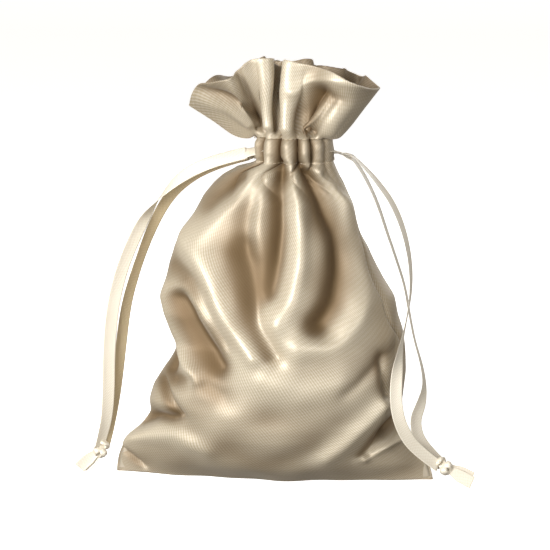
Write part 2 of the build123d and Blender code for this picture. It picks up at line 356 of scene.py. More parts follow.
def ribbon_shape(line, face_turn, width, cup=0.10, columns=15):
    """A flat closed section carried along a line. Its width lies across the line in the plane that
    faces the front, turned about the line by face_turn degrees. The face is cupped a little, and
    the two edges are thicker, as a woven selvedge is."""
    tangent = unit(np.gradient(line, axis=0))
    front = np.array([0.10, -0.98, 0.17])
    across = unit(np.cross(tangent, front))
    out = unit(np.cross(across, tangent))
    turn = np.radians(face_turn)[:, None]
    wide = across * np.cos(turn) + out * np.sin(turn)
    thick = unit(np.cross(tangent, wide))
    t = np.linspace(-1, 1, columns)
    edge = np.exp(-((np.abs(t) - 0.93) / 0.06) ** 2)
    half = (0.09 + 0.09 * edge) * MM * np.sqrt(np.clip(1.02 - t ** 10, 0.02, 1))
    crown = cup * width * (1 - t ** 2) * 0.5
    over = np.concatenate([t, t[::-1]])
    lift = np.concatenate([crown + half, (crown - half)[::-1]])
    points = line[:, None, :] + wide[:, None, :] * (over * width / 2)[None, :, None] \
        + thick[:, None, :] * lift[None, :, None]
    return points, over


def ribbon_piece(name, line, face_turn, width, material, columns=15):
    """A ribbon mesh with both ends closed, and a UV that runs across and along it in metres."""
    points, over = ribbon_shape(line, face_turn, width, columns=columns)
    rows, around = points.shape[:2]
    faces = grid_faces(rows, around, round_columns=True).tolist()
    pair = np.arange(columns - 1)
    for start, flip in ((0, True), ((rows - 1) * around, False)):
        opposite = start + around - 1 - pair
        cap = np.stack([start + pair, start + pair + 1, opposite - 1, opposite], axis=1)
        faces += (cap[:, ::-1] if flip else cap).tolist()
    travelled = np.concatenate([[0], np.cumsum(np.linalg.norm(np.diff(line, axis=0), axis=1))])
    uv = np.stack(np.broadcast_arrays(over[None, :] * width / 2, travelled[:, None]), axis=-1)
    return mesh_piece(name, points, faces, uv, material)


strands = {}
strand_lines = {}
for name, route in STRAND_ROUTES.items():
    line, length = spline_line(np.array(route) * MM)
    share = np.linspace(0, 1, len(line))
    turns = np.array(STRAND_TURNS[name], float)
    shifts = (-0.03, -0.015, 0, 0.015, 0.03)
    smooth = sum(np.interp(share + shift, turns[:, 0], turns[:, 1]) for shift in shifts) / len(shifts)
    # the left back strand hangs with the dull side of its satin to the front; its darker colour is partly
    # that dull side and partly painted shade for the strand hanging behind
    strands[name] = ribbon_piece(name + "_ribbon", line, smooth, RIBBON_WIDTH,
                                 shaded_ribbon_reverse if name == "left_back_strand" else ribbon_satin)
    strand_lines[name] = line, length
    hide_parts(name)


# ---- The knots ---------------------------------------------------------------------
# Both ends of each ribbon are tied together in one overhand knot. The ribbon is crushed
# narrow inside it: it goes round once and comes out through its own loop.
KNOTS = {
    "left": {"middle": (-81.3, -8.0, 12.8), "along": (-0.35, -0.2, -0.9), "tip": (-91.0, -10.5, 3.4)},
    "right": {"middle": (80.8, -15.4, 11.2), "along": (0.78, -0.1, -0.62), "tip": (94.6, -15.0, 4.2)},
}
KNOT_POINTS, KNOT_ROUND = 240, 16


def knot_shape(middle, along, long_radius, round_radius):
    """A trefoil-like closed line, long in the way the ribbon runs, carried by an oval section that
    is creased along its length: x = long cos t + ..., round = sin 2t and cos 2t about it."""
    t = np.linspace(0, 2 * np.pi, KNOT_POINTS, endpoint=False)
    axis = unit(np.array(along, float))
    side = unit(np.cross(axis, [0.2, -1.0, 0.3]))
    deep = np.cross(axis, side)
    p = long_radius * 0.62 * np.cos(t) * (1 + 0.12 * np.cos(3 * t))
    q = round_radius * 0.52 * (np.sin(2 * t) + 0.25 * np.sin(t + 0.6))
    r = round_radius * 0.50 * (np.cos(3 * t) * 0.8 + 0.3 * np.cos(2 * t))
    line = p[:, None] * axis + q[:, None] * side + r[:, None] * deep
    tangent = unit(np.roll(line, -1, axis=0) - np.roll(line, 1, axis=0))
    away = unit(line + 1e-6)
    normal = unit(away - tangent * np.sum(away * tangent, axis=1, keepdims=True))
    other = np.cross(tangent, normal)
    a = np.linspace(0, 2 * np.pi, KNOT_ROUND, endpoint=False)
    crease = 1 + 0.10 * np.cos(5 * a[None, :] + 3 * np.sin(2 * t)[:, None])
    wide = round_radius * 0.50
    thick = round_radius * 0.26
    sideways = other[:, None, :] * (wide * np.cos(a))[None, :, None]
    outward = normal[:, None, :] * (thick * np.sin(a))[None, :, None]
    points = line[:, None, :] + crease[..., None] * (sideways + outward)
    uv = np.stack(np.broadcast_arrays(wide * np.cos(a)[None, :], (t * long_radius)[:, None]), axis=-1)
    return points + np.array(middle), uv


def tail_line(side, turn, spread, length_share):
    """One cut end, from inside the knot to the table, bowed a little to one side."""
    place = KNOTS[side]
    start = np.array(place["middle"]) * MM
    tip = np.array(place["tip"]) * MM
    s = np.linspace(0, length_share, 40)[:, None]
    run = tip - start
    bow = np.cross(unit(run), [0.0, -1.0, 0.0]) * turn + np.array([0.0, -1.0, 0.0]) * spread
    return start + run * s + bow * (np.sin(s * math.pi * 0.6) * 1.6 * MM)


# for each cut end: how far it bows sideways and forward, how much of the way it goes, and its tilt in degrees
TAILS = {"upper": (0.5, 0.5, 1.0, 12), "under": (-0.5, -0.5, 0.93, -14)}
for side in ("left", "right"):
    place = KNOTS[side]
    points, uv = knot_shape(np.array(place["middle"]) * MM, place["along"], 5.6 * MM, 3.5 * MM)
    knot = mesh_piece(f"{side}_overhand_knot", points, grid_faces(KNOT_POINTS, KNOT_ROUND, True, True),
                      uv, ribbon_satin)
    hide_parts(f"{side}_knot")
    tails = []
    for end, (turn, spread, share, tilt) in TAILS.items():
        line = tail_line(side, turn, spread, share)
        s = np.linspace(0, 1, len(line))
        tail = ribbon_piece(f"{side}_{end}_tail", line, tilt * s, RIBBON_WIDTH, ribbon_satin)
        # crushed narrow inside the knot, and at its full width by the cut end
        crush = np.interp(s, [0, 0.25, 0.55, 1], [0.45, 0.6, 0.97, 1.0])
        place_of = np.empty(len(tail.data.vertices) * 3)
        tail.data.vertices.foreach_get("co", place_of)
        place_of = place_of.reshape(len(line), -1, 3)
        place_of = line[:, None, :] + (place_of - line[:, None, :]) * crush[:, None, None]
        tail.data.vertices.foreach_set("co", place_of.ravel())
        tail.data.update()
        tails.append(tail)
    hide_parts(f"{side}_tails")
    for piece in [knot] + tails:
        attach(piece, f"{side}_drawstring")
    for level in ("front", "back"):
        name = f"{side}_{level}_strand"
        line, length = strand_lines[name]
        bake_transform(strands[name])


# ---- The sack's two panels ---------------------------------------------------------
# Champagne satin, cut in two panels sewn together down both sides and along the bottom, and
# turned right side out. Stuffed, it bulges at the front and back, keeps a flat ear at each
# bottom corner, and is drawn into deep pleats under the casing.
SACK_OUTLINE = np.array([
    # height, left edge, right edge, depth to the front, depth to the back, how pinched the edges are
    (0.0, -75.5, 75.5, 7.5, 12.0, 1.50),
    (3.0, -75.3, 75.0, 13.5, 18.0, 1.45),
    (8.0, -74.5, 73.5, 22.5, 24.0, 1.30),
    (12.0, -73.0, 70.5, 26.5, 27.5, 1.15),
    (18.0, -69.5, 66.0, 30.5, 31.0, 0.95),
    (24.0, -63.0, 61.5, 34.0, 34.0, 0.80),
    (30.0, -59.0, 60.0, 36.0, 36.0, 0.65),
    (37.0, -59.0, 60.5, 37.0, 37.0, 0.56),
    (45.0, -56.5, 61.5, 38.0, 38.0, 0.52),
    (52.0, -52.0, 62.3, 38.3, 38.3, 0.50),
    (60.0, -47.0, 62.0, 38.3, 38.3, 0.50),
    (66.0, -45.5, 61.5, 38.0, 38.0, 0.50),
    (72.0, -48.0, 60.5, 37.5, 38.0, 0.50),
    (80.0, -51.4, 57.5, 37.0, 37.0, 0.50),
    (88.0, -52.3, 56.0, 36.0, 36.0, 0.50),
    (95.0, -50.4, 51.8, 35.0, 35.0, 0.50),
    (103.0, -49.0, 48.1, 33.0, 33.0, 0.50),
    (111.0, -46.0, 44.8, 31.0, 31.0, 0.50),
    (118.0, -41.6, 40.5, 28.5, 28.5, 0.50),
    (126.0, -37.0, 37.8, 25.5, 25.5, 0.50),
    (134.0, -33.2, 35.5, 22.0, 22.0, 0.50),
    (141.0, -27.5, 32.5, 18.5, 18.5, 0.50),
    (145.5, -22.0, 30.2, 16.5, 16.5, 0.50),
    (148.5, -13.5, 29.0, 15.0, 15.0, 0.50),
    (150.0, -8.5, 28.0, 14.3, 14.3, 0.50),
    (162.0, -8.5, 27.5, 14.0, 14.0, 0.50),
])
CASING_LOW, CASING_HIGH = 150.0, 162.0
GATHER_FOOT, GATHER_HEIGHT = 132.0, 17.0
# where the creases between pleats fall: across the flat panel (-1 to 1), and round the neck in degrees
FRONT_CREASES = np.array([(-1.0, -90.0), (-0.35, -57.0), (0.09, -21.0), (0.36, 9.6), (0.68, 31.5),
                          (0.87, 57.0), (1.0, 90.0)])
BACK_CREASES = np.array([(-1.0, -90.0), (-0.62, -58.0), (-0.25, -27.0), (0.12, 4.0), (0.48, 34.0),
                         (0.80, 62.0), (1.0, 90.0)])
# soft folds: the line each follows as (x, height), its half width and rise at start and end (millimetres)
FRONT_FOLDS = [
    ([(-1, 152), (-2, 143), (-4, 129), (-6, 113)], (3.0, 5.0), (2.5, 1.5)),
    ([(4, 152), (5, 146), (7, 124), (6, 108), (3.5, 95)], (2.4, 7.0), (-5.0, -6.0)),
    ([(-8, 138), (-10, 126), (-10, 114)], (5.0, 9.0), (-1.0, -3.0)),
    ([(-10, 113), (-7, 102), (-6, 92), (-2.5, 80), (5, 66)], (9.0, 3.6), (-4.0, -5.5)),
    ([(9.5, 151), (12, 139), (15, 122), (15, 106), (11.5, 92), (5, 82)], (2.4, 8.0), (3.0, 4.5)),
    ([(14, 150), (17.5, 145), (24.5, 133), (32, 119), (34.5, 103), (32, 90), (26, 80)],
     (2.2, 8.5), (-5.5, -7.5)),
    ([(18.5, 150), (28, 141), (38, 128), (45, 113), (47, 97), (42, 83), (32, 73), (16, 70)],
     (2.6, 8.0), (3.0, 4.5)),
    ([(24, 146), (27, 141), (31, 138)], (2.4, 3.0), (-2.5, -1.5)),
    ([(-5, 147), (-14, 136), (-23, 126), (-30, 119)], (3.0, 7.0), (2.5, 3.0)),
    ([(-13, 144), (-21, 139), (-29, 131)], (3.5, 6.0), (-2.5, -3.0)),
    ([(-40, 118), (-33, 111), (-27, 101), (-22, 88), (-14, 76), (-5, 66)], (8.0, 5.5), (4.0, 4.5)),
    ([(-45, 103), (-37, 100), (-30, 92), (-24, 80), (-18, 69)], (4.5, 4.0), (-3.0, -2.5)),
    ([(-48, 92), (-41, 94), (-33, 88), (-26, 78), (-20, 67)], (3.5, 3.5), (3.0, 2.5)),
    ([(-41, 89), (-36, 79), (-30, 69), (-22, 59)], (6.0, 6.5), (-6.5, -6.0)),
    ([(-50, 87), (-46, 75), (-41, 63), (-33, 52)], (4.0, 5.0), (3.5, 3.5)),
    ([(-46, 65), (-45, 59), (-48, 53)], (3.0, 3.0), (-4.5, -4.0)),
    ([(-52, 48), (-47, 42), (-41, 34)], (2.6, 2.8), (-3.5, -3.5)),
    ([(-44, 50), (-32, 52), (-20, 46)], (4.0, 7.0), (-2.5, -1.5)),
    ([(-62, 26), (-54, 31), (-45, 32)], (3.4, 3.6), (-5.5, -4.0)),
    ([(-74, 14), (-60, 21), (-44, 24), (-28, 18)], (4.0, 8.0), (3.5, 2.5)),
    ([(-75, 13), (-69, 9), (-61, 3)], (2.0, 1.8), (-2.6, -2.4)),
    ([(53, 64), (53, 54), (54, 45)], (2.0, 2.0), (-2.4, -2.2)),
    ([(60, 67), (53, 63), (44, 54), (36, 48)], (3.0, 5.0), (-2.2, -1.4)),
    ([(52, 40), (44, 31), (35, 22), (27, 15)], (5.5, 6.0), (4.5, 3.0)),
    ([(60, 31), (54, 26), (46, 16)], (4.4, 3.2), (-7.0, -4.0)),
    ([(44, 13), (52, 18), (62, 22)], (2.2, 2.2), (2.4, 2.4)),
    ([(0, 56), (16, 48), (32, 52)], (13.0, 12.0), (3.0, 2.5)),
    ([(-30, 22), (0, 14), (26, 22)], (10.0, 10.0), (-0.8, -0.8)),
]
BACK_FOLDS = [
    ([(-6, 151), (-9, 138), (-14, 120), (-18, 100), (-16, 84)], (2.2, 8.0), (-5.0, -3.0)),
    ([(2, 151), (1, 138), (-2, 118), (-3, 96), (2, 76)], (2.0, 6.0), (3.0, 2.5)),
    ([(9, 151), (10, 138), (13, 118), (17, 98), (14, 80)], (2.0, 7.0), (-5.5, -3.5)),
    ([(17, 151), (20, 136), (27, 116), (32, 98), (30, 80), (20, 66)], (2.0, 6.0), (3.0, 3.0)),
    ([(24, 150), (28, 136), (36, 118), (42, 104)], (1.8, 5.0), (-4.0, -2.5)),
    ([(-15, 148), (-22, 136), (-32, 120), (-38, 104)], (2.5, 6.0), (2.0, 2.5)),
    ([(-40, 92), (-32, 76), (-22, 62)], (5.0, 5.0), (-3.2, -2.4)),
    ([(-48, 84), (-42, 68), (-32, 52)], (4.0, 5.0), (2.4, 1.6)),
    ([(-50, 58), (-44, 48), (-38, 40)], (2.8, 3.4), (-2.6, -2.0)),
    ([(46, 78), (38, 62), (26, 50)], (4.0, 6.0), (-2.6, -1.8)),
    ([(54, 60), (48, 46), (38, 34)], (3.4, 5.0), (2.4, 1.8)),
    ([(56, 32), (50, 24), (42, 16)], (3.2, 3.0), (-4.2, -2.4)),
    ([(-58, 30), (-52, 23), (-44, 14)], (3.2, 3.0), (-4.2, -2.4)),
    ([(-10, 58), (6, 50), (22, 40)], (8.0, 9.0), (1.4, 0.8)),
    ([(-24, 30), (0, 24), (20, 28)], (9.0, 9.0), (-1.0, -1.0)),
]


def eased(table, at, column, blur):
    """A column of a table read at heights, averaged over a short span so that it has no corners."""
    shifts = np.linspace(-blur, blur, 7)
    return sum(np.interp(at + shift, table[:, 0], table[:, column]) for shift in shifts) / len(shifts)


def fold_relief(x, z, folds):
    """Each fold adds a rounded bank along its line: rise times 1 / (1 + (distance / half width) squared)
    squared, its width and rise changing evenly from start to end, and dying away past both ends."""
    relief = np.zeros_like(x)
    for route, widths, rises in folds:
        route = np.array(route, float)
        dense = np.linspace(0, len(route) - 1, 8 * len(route))
        points = np.stack([np.interp(dense, np.arange(len(route)), route[:, k]) for k in range(2)], axis=1)
        for _ in range(3):
            points[1:-1] = (points[:-2] + 2 * points[1:-1] + points[2:]) / 4
        apart = np.hypot(x[..., None] - points[:, 0], z[..., None] - points[:, 1])
        nearest = apart.argmin(axis=-1)
        share = nearest / (len(points) - 1)
        width = widths[0] + (widths[1] - widths[0]) * share
        rise = rises[0] + (rises[1] - rises[0]) * share
        relief += rise / (1 + (apart.min(axis=-1) / width) ** 2) ** 2
    return relief


def ripple(x, z, seed, size, amount):
    """Slow irregular ripples: a sum of slanting waves with seeded directions and phases."""
    draw = np.random.default_rng(seed)
    total = np.zeros_like(x)
    for _ in range(14):
        angle = draw.uniform(0, math.pi)
        length = size * draw.uniform(0.6, 1.8)
        phase = draw.uniform(0, 2 * math.pi)
        total += np.sin((x * math.cos(angle) + z * math.sin(angle)) * 2 * math.pi / length + phase)
    return total * amount / math.sqrt(14)


def panel_shape(front, columns, rows):
    """One panel as a grid, from the bottom seam up to the top of the casing, in millimetres.

    Across the panel s runs from -1 to 1. Round the body the angle is 90 s degrees, and at the neck it
    follows the creases, so that the cloth between two creases stands as one rounded pleat."""
    creases = FRONT_CREASES if front else BACK_CREASES
    sign = -1.0 if front else 1.0
    s = np.linspace(-1, 1, columns)[None, :]
    under_rows = 14
    up = np.linspace(0, 1, rows - under_rows)
    heights = np.concatenate([np.zeros(under_rows), CASING_HIGH * (up * 0.80 + 0.20 * up ** 1.6)])
    under = np.concatenate([np.linspace(0, 1, under_rows, endpoint=False), np.ones(rows - under_rows)])
    under = under[:, None]
    columns_read = (1, 2, 3 if front else 4, 5)
    left, right, depth, pinch = (eased(SACK_OUTLINE, heights, k, 1.6)[:, None] for k in columns_read)
    z = heights[:, None] + np.zeros_like(s)
    gather = np.clip((heights[:, None] - GATHER_FOOT) / GATHER_HEIGHT, 0, 1)
    gather = gather * gather * (3 - 2 * gather)
    neck_angle = np.interp(s, creases[:, 0], creases[:, 1])
    # the right side seam lies a little to the front, so the back panel shows beyond it
    forward = 21.0 * np.exp(-((heights[:, None] - 92.0) / 26.0) ** 4) * np.where(s > 0, sign, 0.0)
    angle = np.radians((90.0 + forward) * s * (1 - gather) + neck_angle * gather)
    middle, half = (left + right) / 2, (right - left) / 2
    x = middle + half * np.sin(angle)
    y = sign * depth * np.sign(np.cos(angle)) * np.abs(np.cos(angle)) ** (2 * pinch)
    normal_x, normal_y = np.sin(angle) * depth, sign * np.cos(angle) * half
    size = np.hypot(normal_x, normal_y) + 1e-6
    normal_x, normal_y = normal_x / size, normal_y / size
    # pleats
    pleat = np.interp(s, creases[:, 0], np.arange(len(creases)))
    part = pleat - np.floor(pleat)
    bulge = np.sin(np.pi * np.clip(part, 0, 1)) ** 0.6
    fade = np.where(z > CASING_LOW, 1.0, np.exp(-(CASING_LOW - z) / 11.0))
    depth_here = np.interp(s, [-1, 0.75, 0.87, 1], [4.6, 4.6, 2.2, 3.0]) if front else 4.6
    relief = -(1 - bulge) * depth_here * fade
    folds = fold_relief(x, z, FRONT_FOLDS if front else BACK_FOLDS)
    relief = relief + folds * np.clip((CASING_LOW + 4 - z) / 6, 0, 1)
    below_casing = np.clip((CASING_LOW - z) / 25, 0, 1)
    relief = relief + ripple(x, z, 5 if front else 9, 34.0, 0.45) * below_casing
    relief = relief + ripple(x, z, 15 if front else 19, 13.0, 0.12) * below_casing
    edge = 1 - np.abs(s) ** 6
    stand = np.clip(z / 6.0, 0, 1)
    relief = relief * edge * stand
    soft = relief.copy()
    for _ in range(9):
        soft[1:-1] = (soft[:-2] + 2 * soft[1:-1] + soft[2:]) / 4
        soft[:, 1:-1] = (soft[:, :-2] + 2 * soft[:, 1:-1] + soft[:, 2:]) / 4
    relief = soft + (relief * 1.15 - soft) * np.maximum(gather, 0.8 * np.clip((68 - z) / 12, 0, 1))
    # the casing swells over the ribbons inside it and is pinched by its two rows of stitching
    swell = 0.9 * np.exp(-((z - 156.0) / 4.0) ** 2) - 1.0 * np.exp(-((z - 150.4) / 1.3) ** 2) \
        - 1.1 * np.exp(-((z - CASING_HIGH) / 1.4) ** 2)
    twist = ripple(x, z, 45 if front else 49, 9.0, 0.35) * gather
    groove = -0.9 * np.exp(-((1 - np.abs(s)) / 0.022) ** 2) * np.clip((z - 22) / 20, 0, 1)
    push = relief + (swell + twist) * edge * gather + groove
    x = x + normal_x * push
    y = y + normal_y * push
    # painted shade: the fold attribute is low in the folds' hollows and high on their crests, and outside the
    # gathers under the casing it is kept to the side of each fold that turns away from the light's side
    turned = np.concatenate([relief[:, 5:], np.repeat(relief[:, -1:], 5, axis=1)], axis=1)
    tone = 1 / (1 + np.exp(-(turned + (relief - turned) * gather + 0.35) / 1.15))
    # the underside runs in from the front edge to the bottom seam
    waver = 1 + 0.16 * np.sin(x / 9.0 + 1.0) * np.exp(-heights[:, None] / 5.0) \
        + 0.10 * np.sin(x / 4.3) * np.exp(-heights[:, None] / 3.0)
    y = y * under * waver
    ear_tip = np.clip((np.abs(s) - 0.92) / 0.05, 0, 1) * np.exp(-heights[:, None] / 2.0)
    z = z + (1 - under) * 0.4 + 0.32 * ear_tip
    return np.stack([x, y, z], axis=-1), tone


def set_painted_fold_shade(piece, tone):
    """Keeps each point's painted shade as the fold attribute: 0 where a fold is painted darkest, at its
    bottom, and 1 on the crest, where it is left unshaded.
    """
    layer = piece.data.attributes.new("fold", "FLOAT", "POINT")
    layer.data.foreach_set("value", np.asarray(tone, np.float32).ravel())


PANEL_COLUMNS, PANEL_ROWS = 221, 222
CUT_WIDTH, CUT_HEIGHT = 152.4, 184.0
CLOTH_THICKNESS = 0.3 * MM
# the sack's satin: its glint is a painted glint on the rib tops, and its fold colour is painted shade for the
# bottoms of the folds
sack_satin = satin("sack_satin", (0.62, 0.545, 0.41), (0.35, 0.28, 0.17), (0.93, 0.905, 0.84),
                   1.0 * MM, 0.07 * MM, 0.42, fold=(0.15, 0.092, 0.036))
panel_points = {}
for side, front in (("front", True), ("back", False)):
    shape, tone = panel_shape(front, PANEL_COLUMNS, PANEL_ROWS)
    panel_points[side] = shape
    faces = grid_faces(PANEL_ROWS, PANEL_COLUMNS)
    if not front:
        faces = faces[:, ::-1]
    uv = np.stack(np.broadcast_arrays(np.linspace(-1, 1, PANEL_COLUMNS)[None, :] * CUT_WIDTH / 2,
                                      np.linspace(0, 1, PANEL_ROWS)[:, None] * CUT_HEIGHT), axis=-1) * MM
    panel = mesh_piece(f"{side}_satin_panel", shape * MM, faces, uv, sack_satin)
    set_painted_fold_shade(panel, tone)
    wall = panel.modifiers.new("cloth", "SOLIDIFY")
    wall.thickness = CLOTH_THICKNESS
    wall.offset = -1.0
    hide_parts(f"{side}_panel", f"{side}_casing", f"{side}_casing_facing")
    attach(panel, "sack")


# ---- The header: the frilled top above the casing ------------------------------------
# The same satin carried on above the casing, turned over at the rim and down the inside as a
# facing. It stands open and flares: a horn on the left, one tall fold by the middle, and a flap
# on the right that arches over a hollow.
FRONT_RIM = np.array([
    # across the panel, then x, depth and height in millimetres
    (-1.00, -39.5, 2.0, 175.2), (-0.92, -36.4, -5.5, 183.0), (-0.80, -28.5, -14.0, 185.9),
    (-0.66, -18.6, -20.0, 189.4), (-0.58, -15.4, -14.0, 191.6), (-0.48, -12.8, -13.0, 195.0),
    (-0.36, -8.0, -12.0, 198.0), (-0.24, -2.8, -10.5, 198.6), (-0.15, 0.6, -6.0, 197.6),
    (-0.07, 2.0, 0.0, 196.0), (0.02, 3.2, 6.0, 193.5), (0.11, 4.2, 2.0, 195.0),
    (0.19, 6.6, -6.0, 197.4), (0.31, 13.5, -11.5, 196.2), (0.46, 21.8, -16.0, 194.4),
    (0.60, 30.4, -19.0, 192.4), (0.76, 39.4, -17.0, 188.0), (0.90, 46.0, -7.5, 184.0),
    (1.00, 48.8, 2.0, 184.1),
])
BACK_RIM = np.array([
    (-1.00, -39.5, 2.0, 175.2), (-0.90, -36.0, 8.0, 180.5), (-0.74, -29.0, 17.0, 186.0),
    (-0.58, -21.0, 21.0, 189.0), (-0.42, -14.5, 14.0, 192.0), (-0.30, -8.5, 19.0, 194.0),
    (-0.14, -0.6, 21.0, 195.0), (-0.02, 4.0, 13.5, 195.0), (0.12, 9.5, 18.0, 194.6),
    (0.26, 15.2, 22.5, 193.0), (0.42, 23.0, 16.5, 191.6), (0.56, 29.5, 21.0, 190.8),
    (0.70, 36.5, 20.5, 190.4), (0.84, 42.8, 14.0, 187.4), (0.93, 46.2, 8.0, 185.4), (1.00, 48.8, 2.0, 184.1),
])
# where each side seam runs between the casing and the rim
LEFT_HEADER_SEAM = np.array([(-8.5, 0.0, 162.0), (-12.5, 0.0, 160.6), (-19.0, 0.0, 162.2),
                             (-28.5, 0.5, 168.6), (-39.5, 2.0, 175.2)])
RIGHT_HEADER_SEAM = np.array([(27.5, 0.0, 162.0), (30.5, 0.0, 161.6), (35.5, 0.0, 166.6),
                              (42.0, 0.5, 175.2), (48.8, 2.0, 184.1)])
HEADER_ROWS = 96
RIM_WAVE_FRONT, RIM_WAVE_BACK = 1.6, 4.6
FRONT_HEADER_FOLDS = [
    ([(-36, 184), (-21, 181), (-10, 176), (-6, 170)], (2.6, 2.4), (-3.0, -3.5)),
    ([(-33, 178), (-21, 175), (-11, 168)], (3.5, 2.6), (2.5, 2.0)),
    ([(-15, 193), (-11, 184), (-7, 175), (-5, 167)], (2.4, 1.8), (-3.5, -3.5)),
    ([(-6, 197), (-4, 188), (-2, 178), (-1, 167)], (5.5, 3.0), (3.0, 3.5)),
    ([(3, 197), (1.5, 180), (2.5, 166)], (2.0, 2.0), (-3.0, -5.0)),
    ([(8, 196), (6.5, 182), (7, 165)], (4.2, 3.0), (4.0, 3.5)),
    ([(11, 183), (17, 188), (26, 190), (36, 189), (43, 187)], (3.5, 3.5), (2.5, 2.0)),
    ([(22, 182), (17.5, 174), (16, 165)], (7.5, 5.0), (-6.0, -7.0)),
    ([(24, 182), (33, 180)], (5.0, 4.5), (-3.0, -2.5)),
    ([(28, 165), (30, 170), (36, 177)], (5.5, 7.0), (3.2, 2.5)),
    ([(-7, 165.5), (-2, 164.5)], (1.4, 1.2), (-2.5, -2.0)),
]
BACK_HEADER_FOLDS = [
    ([(-30, 178), (-20, 172), (-8, 165)], (4.0, 2.4), (-3.0, -2.5)),
    ([(-10, 192), (-6, 178), (0, 166)], (4.5, 2.4), (-5.0, -4.0)),
    ([(-2, 194), (2, 180), (6, 166)], (4.0, 2.4), (3.5, 3.0)),
    ([(14, 192), (13, 178), (12, 166)], (4.5, 2.4), (-5.0, -4.0)),
    ([(28, 190), (24, 178), (18, 166)], (5.0, 2.6), (-4.5, -4.0)),
    ([(36, 188), (31, 177), (24, 166)], (4.0, 2.4), (3.0, 2.5)),
]


def smooth_through(table, at):
    """Cubic through a table's rows: each column against the first, with slopes taken from its neighbours."""
    known = table[:, 0]
    out = []
    for k in range(1, table.shape[1]):
        value = table[:, k]
        slope = np.gradient(value, known)
        index = np.clip(np.searchsorted(known, at) - 1, 0, len(known) - 2)
        width = known[index + 1] - known[index]
        u = (at - known[index]) / width
        out.append(value[index] * (1 + 2 * u) * (1 - u) ** 2 + value[index + 1] * u * u * (3 - 2 * u)
                   + width * (slope[index] * u * (1 - u) ** 2 - slope[index + 1] * u * u * (1 - u)))
    return np.stack(out, axis=-1)


def grid_normals(points):
    """Unit normals of a grid from its two directions."""
    return unit(np.cross(np.gradient(points, axis=1), np.gradient(points, axis=0)) + 1e-12)


def header_shape(front, neck_row, rows):
    """The outer face of one half, in millimetres: each thread runs from its place in the casing's
    top row to its place on the rim, first bowed by the side seams' run, then pushed by the folds."""
    columns = len(neck_row)
    s = np.linspace(-1, 1, columns)
    rim = smooth_through(FRONT_RIM if front else BACK_RIM, s)
    t = np.linspace(0, 1, rows)[:, None, None]
    rise = t ** 0.92
    out = t ** 1.12
    shape = neck_row + (rim - neck_row) * np.concatenate([out, out, rise], axis=-1)
    # the side seams pull their own run into the ends of each half
    share = np.linspace(0, 1, rows)
    for seam, column, reach in ((LEFT_HEADER_SEAM, 0, (1 - s) / 2), (RIGHT_HEADER_SEAM, -1, (1 + s) / 2)):
        along = np.linspace(0, 1, len(seam))
        wanted = smooth_through(np.column_stack([along, seam]), share)
        shift = wanted - shape[:, column]
        weight = np.clip((reach - 0.55) / 0.45, 0, 1) ** 2.2
        shape = shape + shift[:, None, :] * weight[None, :, None]
    for _ in range(2):
        shape[:, 1:-1] = (shape[:, :-2] + 2 * shape[:, 1:-1] + shape[:, 2:]) / 4
    normal = grid_normals(shape) * (1.0 if front else -1.0)
    folds = FRONT_HEADER_FOLDS if front else BACK_HEADER_FOLDS
    edge = (1 - np.abs(s) ** 8)[None, :] * np.clip(share / 0.10, 0, 1)[:, None]
    relief = (fold_relief(shape[..., 0], shape[..., 2], folds)
              + ripple(shape[..., 0], shape[..., 2], 31 if front else 37, 16.0, 0.30)) * edge
    for _ in range(5):
        relief[1:-1] = (relief[:-2] + 2 * relief[1:-1] + relief[2:]) / 4
        relief[:, 1:-1] = (relief[:, :-2] + 2 * relief[:, 1:-1] + relief[:, 2:]) / 4
    wave = RIM_WAVE_FRONT if front else RIM_WAVE_BACK
    frill = wave * np.sin(2 * np.pi * (3.2 * s + 0.25 * np.sin(5 * s)) + 0.8)[None, :]
    relief = relief + frill * edge * (share ** 0.8)[:, None]
    # painted shade: the fold attribute is low in the hollows of the header's folds and high on their crests
    tone = 1 / (1 + np.exp(-(relief + 1.2) / 1.5))
    return shape + normal * relief[..., None], tone


def header_piece(front, neck_row):
    """Outer face, a rounded turn at the rim, then the facing down the inside to the casing's foot."""
    side = "front" if front else "back"
    outer, tone = header_shape(front, neck_row, HEADER_ROWS)
    inward = -grid_normals(outer) * (1.0 if front else -1.0)
    gap = 0.9
    inner = outer + inward * gap
    turn = np.linspace(0, np.pi, 7)[1:-1]
    up = unit(outer[-1] - outer[-3])
    turned_in, lifted = gap * 0.5 * (1 - np.cos(turn)), gap * 0.5 * np.sin(turn)
    lip = outer[-1] + inward[-1] * turned_in[:, None, None] + up * lifted[:, None, None]
    below = []
    centre = neck_row.mean(axis=0)
    for k, height in enumerate(np.linspace(160.5, 150.5, 8)):
        pull = 1 - 0.22 * min(1.0, (k + 1) / 3)
        row = inner[0].copy()
        row[:, 0] = centre[0] + (row[:, 0] - centre[0]) * pull
        row[:, 1] = row[:, 1] * pull
        row[:, 2] = height
        below.append(row)
    shape = np.concatenate([outer, lip, inner[::-1], np.array(below)])
    # painted shade: the facing inside the header is painted darker down towards the casing, and the rows
    # below it are fully dark
    inside = np.repeat(np.linspace(0.30, 0.0, HEADER_ROWS)[:, None], tone.shape[1], axis=1)
    tone = np.concatenate([tone, np.repeat(tone[-1:], 5, axis=0), inside, np.zeros((8, tone.shape[1]))])
    rows, columns = shape.shape[:2]
    faces = grid_faces(rows, columns)
    if not front:
        faces = faces[:, ::-1]
    steps = np.linalg.norm(np.diff(shape[:, columns // 2], axis=0), axis=1)
    travelled = np.concatenate([[0], np.cumsum(steps)])
    uv = np.stack(np.broadcast_arrays(np.linspace(-1, 1, columns)[None, :] * CUT_WIDTH / 2,
                                      CUT_HEIGHT + travelled[:, None]), axis=-1) * MM
    piece = mesh_piece(f"{side}_satin_header", shape * MM, faces, uv, sack_satin)
    set_painted_fold_shade(piece, tone)
    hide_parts(f"{side}_header", f"{side}_header_facing")
    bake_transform(piece)


header_piece(True, panel_points["front"][-1])
header_piece(False, panel_points["back"][-1])


